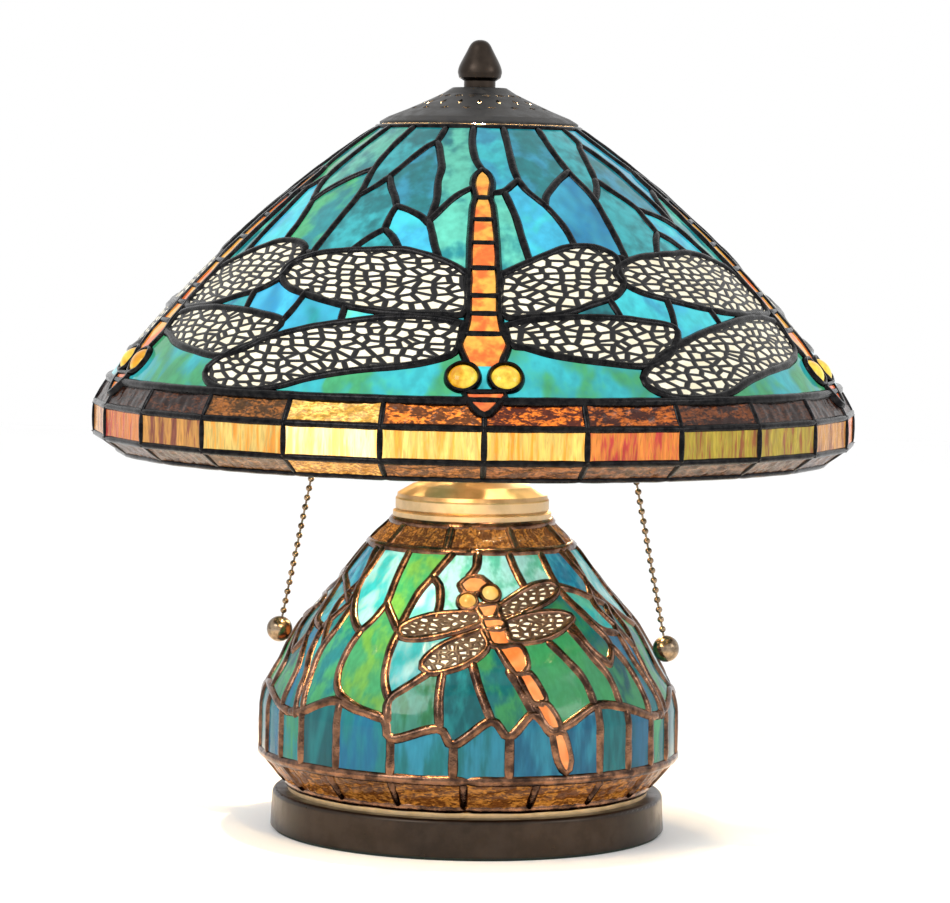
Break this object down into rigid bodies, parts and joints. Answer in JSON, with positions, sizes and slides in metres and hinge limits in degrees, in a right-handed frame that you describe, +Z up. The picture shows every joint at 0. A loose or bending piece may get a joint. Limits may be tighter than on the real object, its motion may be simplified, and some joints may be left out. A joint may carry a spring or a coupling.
{
  "type": "stained glass table lamp",
  "caption": "Leaded glass table lamp with a dragonfly shade on a lit glass body, pull-chain sockets and a round metal foot.",
  "frame": {"origin": "centre of the foot's underside, on the surface the lamp stands on", "axes": "+Z up the lamp's centre line; -Y is the front, where one dragonfly faces"},
  "size_m": [0.369, 0.3688, 0.3818],
  "materials": {
    "felt": "soft green-black felt",
    "bronze": "dark bronze, satin",
    "steel": "plain plated steel",
    "rubber": "matt black",
    "brass": "satin gold lacquer",
    "antique_brass": "dark antique brass, polished",
    "leaf_glass": "streaky opalescent, blue to green",
    "cream_glass": "cream opalescent under pierced metal",
    "orange_glass": "orange to yellow opalescent",
    "amber_gem": "round pressed amber gem",
    "ripple_glass": "brown amber ripple, transparent",
    "band_glass": "streaky yellow, orange and red",
    "black_solder": "solder with a black patina, glossy",
    "copper_solder": "solder with a copper-bronze patina, glossy",
    "bulb_glass": "frosted white"
  },
  "bodies": {
    "base": {"felt_pad": "felt", "foot": "bronze", "foot_weight": "steel", "cord_bushing": "rubber", "foot_washer": "steel", "foot_nut": "steel", "lamp_pipe": "steel", "lantern_seat_ring": "brass", "lantern_top_glass": "ripple_glass", "lantern_leaf_glass": "leaf_glass", "lantern_wings": "cream_glass", "lantern_bodies": "orange_glass", "lantern_gems": "amber_gem", "lantern_belt_glass": "leaf_glass", "lantern_skirt_glass": "ripple_glass", "lantern_lead": "copper_solder", "night_bracket": "steel", "night_socket": "brass", "night_bulb": "bulb_glass", "collar": "brass", "stem": "brass", "cluster_body": "brass", "riser_rod": "steel", "seat_nut": "steel", "front_socket": "brass", "front_bulb_base": "steel", "front_bulb_glass": "bulb_glass", "rear_socket": "brass", "rear_bulb_base": "steel", "rear_bulb_glass": "bulb_glass", "right_chain_arm": "brass", "left_chain_arm": "brass"},
    "shade": {"shade_spider": "brass", "shade_top_ring": "brass", "shade_leaf_glass": "leaf_glass", "shade_wings": "cream_glass", "shade_bodies": "orange_glass", "shade_gems": "amber_gem", "shade_amber_row": "ripple_glass", "shade_band_row": "band_glass", "shade_skirt_row": "ripple_glass", "shade_lead": "black_solder", "shade_cap": "bronze"},
    "finial": {"finial": "bronze"},
    "right_pull": {"right_pull_lever": "antique_brass"},
    "right_link": {"right_chain_coupling": "antique_brass"},
    "right_chain": {"right_chain": "antique_brass", "right_chain_ball": "antique_brass"},
    "left_pull": {"left_pull_lever": "antique_brass"},
    "left_link": {"left_chain_coupling": "antique_brass"},
    "left_chain": {"left_chain": "antique_brass", "left_chain_ball": "antique_brass"}
  },
  "joints": [
    {"name": "shade_turn", "type": "hinge", "parent": "base", "child": "shade", "pos_m": [0, 0, 0.33], "axis": [0, 0, 1], "continuous": true},
    {"name": "finial_turn", "type": "hinge", "parent": "base", "child": "finial", "pos_m": [0, 0, 0.37], "axis": [0, 0, 1], "continuous": true},
    {"name": "right_switch", "type": "slide", "parent": "base", "child": "right_pull", "axis": [0.1916, -0.055, -0.9799], "range_m": [0, 0.006], "stiffness_N_per_m": 300, "springref_m": -0.003},
    {"name": "right_swing", "type": "hinge", "parent": "right_pull", "child": "right_link", "pos_m": [0.07327, -0.02101, 0.19797], "axis": [-0.2756, -0.9613, 0], "range_deg": [0, 20]},
    {"name": "right_sway", "type": "hinge", "parent": "right_link", "child": "right_chain", "pos_m": [0.07442, -0.02134, 0.19209], "axis": [0.942, -0.2701, 0.1994], "range_deg": [-20, 20]},
    {"name": "left_switch", "type": "slide", "parent": "base", "child": "left_pull", "axis": [-0.1916, 0.055, -0.9799], "range_m": [0, 0.006], "stiffness_N_per_m": 300, "springref_m": -0.003},
    {"name": "left_swing", "type": "hinge", "parent": "left_pull", "child": "left_link", "pos_m": [-0.07327, 0.02101, 0.19797], "axis": [0.2756, 0.9613, 0], "range_deg": [0, 20]},
    {"name": "left_sway", "type": "hinge", "parent": "left_link", "child": "left_chain", "pos_m": [-0.07442, 0.02134, 0.19209], "axis": [-0.942, 0.2701, 0.1994], "range_deg": [-20, 20]}
  ]
}
